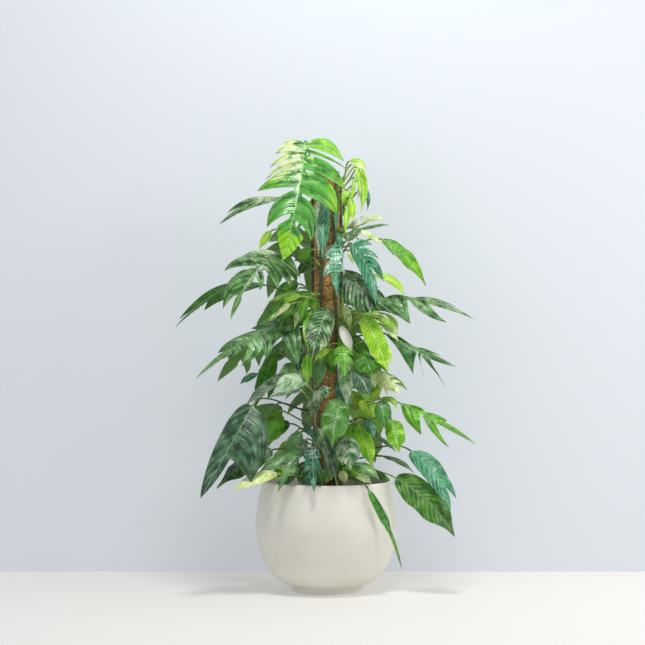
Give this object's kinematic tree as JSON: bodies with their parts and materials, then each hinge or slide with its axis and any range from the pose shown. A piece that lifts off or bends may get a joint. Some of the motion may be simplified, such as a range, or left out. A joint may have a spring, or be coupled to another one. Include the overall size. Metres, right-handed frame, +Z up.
{
  "type": "potted variegated epipremnum pinnatum",
  "caption": "Climbing aroid with split and entire variegated leaves on a coir pole, in a smooth round bowl-shaped pot with a low notched foot.",
  "frame": {"origin": "centre of the pot's underside, on the surface it stands on", "axes": "+Z up along the pole, -Y towards the front that the picture shows, +X to the right of that view"},
  "size_m": [0.648, 0.422, 0.9916],
  "materials": {
    "pot": "satin off-white glaze",
    "soil": "dark crumbly potting mix",
    "coir": "brown coconut fibre",
    "pole_core": "plain round stick",
    "stem": "living green-brown climbing stem with small leaves",
    "leaf_deep": "living leaf, dark blue-green with a soft grey sheen",
    "leaf_teal": "living leaf, blue-green with mint patches",
    "leaf_green": "living leaf, mid green",
    "leaf_lime": "living leaf, lime green",
    "leaf_cream": "living leaf, cream with lime streaks",
    "leaf_white": "living leaf, white with green streaks",
    "leaf_marbled": "living leaf, green marbled with pale mint"
  },
  "bodies": {
    "root": {"pot": "pot", "soil": "soil", "coir_pole": "coir", "pole_core": "pole_core", "vine_front_left": "stem", "vine_front_right": "stem", "vine_back_left": "stem", "vine_back_right": "stem", "leaf_top_split": "leaf_lime", "leaf_upper_left": "leaf_deep", "leaf_shoulder_left": "leaf_deep", "leaf_far_left": "leaf_deep", "leaf_speckled_left": "leaf_lime", "leaf_lime_by_pole": "leaf_lime", "leaf_centre_dark": "leaf_deep", "leaf_long_left": "leaf_deep", "leaf_green_left": "leaf_green", "leaf_mint_left": "leaf_marbled", "leaf_striped_left": "leaf_marbled", "leaf_mint_front": "leaf_marbled", "leaf_olive_centre": "leaf_green", "leaf_teal_centre": "leaf_teal", "leaf_teal_upper_right": "leaf_teal", "leaf_dark_right": "leaf_deep", "leaf_far_right": "leaf_deep", "leaf_wavy_upper_right": "leaf_lime", "leaf_white_over_pole": "leaf_white", "leaf_streaked_front": "leaf_teal", "leaf_lime_right_upper": "leaf_lime", "leaf_lime_right_lower": "leaf_lime", "leaf_cream_split_right": "leaf_cream", "leaf_split_right": "leaf_deep", "leaf_bright_right": "leaf_green", "leaf_slate_right": "leaf_deep", "leaf_cream_split_low": "leaf_cream", "leaf_long_right": "leaf_green", "leaf_pale_right": "leaf_marbled", "leaf_backlit_right": "leaf_lime", "leaf_teal_low_right": "leaf_teal", "leaf_big_low_right": "leaf_green", "leaf_big_low_left": "leaf_deep", "leaf_green_low_left": "leaf_green", "leaf_veined_low_left": "leaf_deep", "leaf_grey_low_left": "leaf_deep", "leaf_cream_low_left": "leaf_cream", "leaf_rim_left": "leaf_deep", "leaf_rim_front": "leaf_teal", "leaf_low_centre_dark": "leaf_deep", "leaf_low_centre_white": "leaf_white", "leaf_folded_centre": "leaf_deep", "leaf_lime_low_centre": "leaf_lime", "leaf_rim_right": "leaf_deep", "leaf_hanging_right": "leaf_teal", "leaf_white_right": "leaf_white"}
  },
  "joints": []
}
